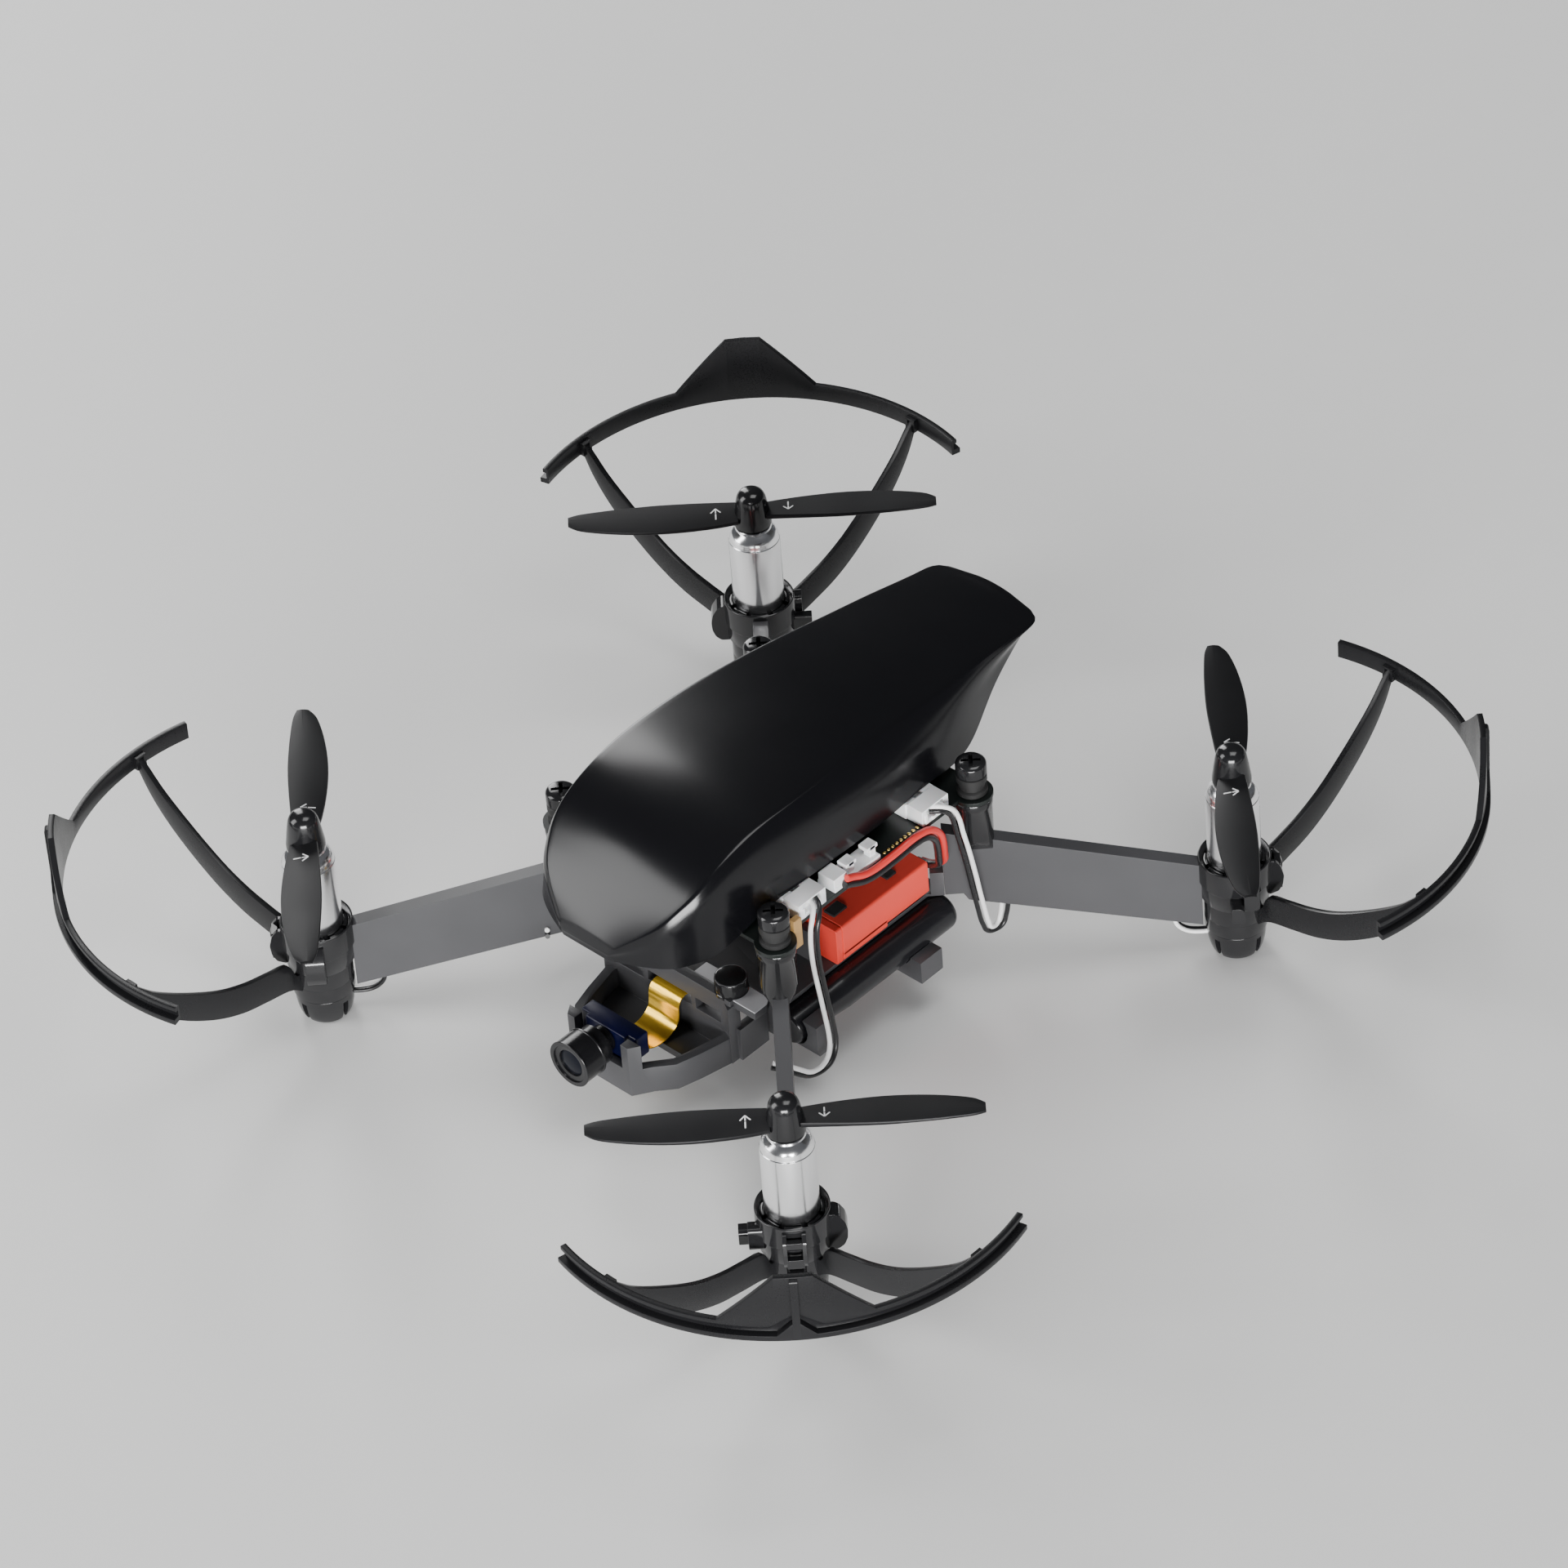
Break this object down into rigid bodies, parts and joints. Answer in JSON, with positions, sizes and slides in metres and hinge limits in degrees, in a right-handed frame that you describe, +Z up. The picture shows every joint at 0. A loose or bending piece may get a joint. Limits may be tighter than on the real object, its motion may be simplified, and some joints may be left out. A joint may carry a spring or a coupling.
{
  "type": "mini palm drone",
  "caption": "Small X-frame quadcopter with clip-on propeller guards, a glossy hood canopy, a nose camera and a battery slung under the circuit board.",
  "frame": {"origin": "middle of the drone in plan, in the plane of the four motor feet", "axes": "+Z up, -Y towards the camera at the nose, +X towards the drone's left-hand side; the motors stand on the diagonals"},
  "size_m": [0.1818, 0.1818, 0.0524],
  "materials": {
    "frame_black": "moulded black nylon, fine satin grain",
    "canopy_black": "high-gloss black moulding",
    "propeller_black": "smooth satin black",
    "can_steel": "bright plated can",
    "shaft_steel": "ground shaft and copper-grey coil cup",
    "screw_black": "blackened steel screw",
    "grommet_rubber": "soft black rubber",
    "board_ink": "black solder mask",
    "nylon_white": "natural white nylon",
    "cell_wrap": "red foil and film wrap",
    "camera_blue": "dark blue film over a small block",
    "lens_glass": "coated lens",
    "flex_film": "amber polyimide film",
    "lead_red": "silicone-sleeved wire",
    "lead_grey": "pair of thin sleeved wires, one white and one black",
    "tube_black": "smooth black sleeve"
  },
  "bodies": {
    "airframe": {"frame_tray": "frame_black", "camera_bracket": "frame_black", "main_board": "board_ink", "canopy": "canopy_black", "battery": "cell_wrap", "camera_module": "camera_blue", "lens_barrel": "frame_black", "lens_glass": "lens_glass", "flex_ribbon": "flex_film", "battery_lead": "lead_red", "side_tube_left": "tube_black", "side_tube_right": "tube_black", "arm_front_left": "frame_black", "motor_can_front_left": "can_steel", "motor_end_cap_front_left": "nylon_white", "prop_guard_front_left": "frame_black", "canopy_screw_front_left": "screw_black", "grommet_front_left": "grommet_rubber", "motor_header_front_left": "nylon_white", "motor_plug_front_left": "nylon_white", "motor_lead_front_left": "lead_grey", "motor_tail_front_left": "lead_grey", "arm_front_right": "frame_black", "motor_can_front_right": "can_steel", "motor_end_cap_front_right": "nylon_white", "prop_guard_front_right": "frame_black", "canopy_screw_front_right": "screw_black", "grommet_front_right": "grommet_rubber", "motor_header_front_right": "nylon_white", "motor_plug_front_right": "nylon_white", "motor_lead_front_right": "lead_grey", "motor_tail_front_right": "lead_grey", "arm_rear_left": "frame_black", "motor_can_rear_left": "can_steel", "motor_end_cap_rear_left": "nylon_white", "prop_guard_rear_left": "frame_black", "canopy_screw_rear_left": "screw_black", "grommet_rear_left": "grommet_rubber", "motor_header_rear_left": "nylon_white", "motor_plug_rear_left": "nylon_white", "motor_lead_rear_left": "lead_grey", "motor_tail_rear_left": "lead_grey", "arm_rear_right": "frame_black", "motor_can_rear_right": "can_steel", "motor_end_cap_rear_right": "nylon_white", "prop_guard_rear_right": "frame_black", "canopy_screw_rear_right": "screw_black", "grommet_rear_right": "grommet_rubber", "motor_header_rear_right": "nylon_white", "motor_plug_rear_right": "nylon_white", "motor_lead_rear_right": "lead_grey", "motor_tail_rear_right": "lead_grey"},
    "spinner_front_left": {"propeller_front_left": "propeller_black", "motor_rotor_front_left": "shaft_steel"},
    "spinner_front_right": {"propeller_front_right": "propeller_black", "motor_rotor_front_right": "shaft_steel"},
    "spinner_rear_left": {"propeller_rear_left": "propeller_black", "motor_rotor_rear_left": "shaft_steel"},
    "spinner_rear_right": {"propeller_rear_right": "propeller_black", "motor_rotor_rear_right": "shaft_steel"}
  },
  "joints": [
    {"name": "propeller_front_left_spin", "type": "hinge", "parent": "airframe", "child": "spinner_front_left", "pos_m": [0.05092, -0.05092, 0.0363], "axis": [0, 0, 1], "continuous": true},
    {"name": "propeller_front_right_spin", "type": "hinge", "parent": "airframe", "child": "spinner_front_right", "pos_m": [-0.05092, -0.05092, 0.0363], "axis": [0, 0, 1], "continuous": true},
    {"name": "propeller_rear_left_spin", "type": "hinge", "parent": "airframe", "child": "spinner_rear_left", "pos_m": [0.05092, 0.05092, 0.0363], "axis": [0, 0, 1], "continuous": true},
    {"name": "propeller_rear_right_spin", "type": "hinge", "parent": "airframe", "child": "spinner_rear_right", "pos_m": [-0.05092, 0.05092, 0.0363], "axis": [0, 0, 1], "continuous": true}
  ]
}
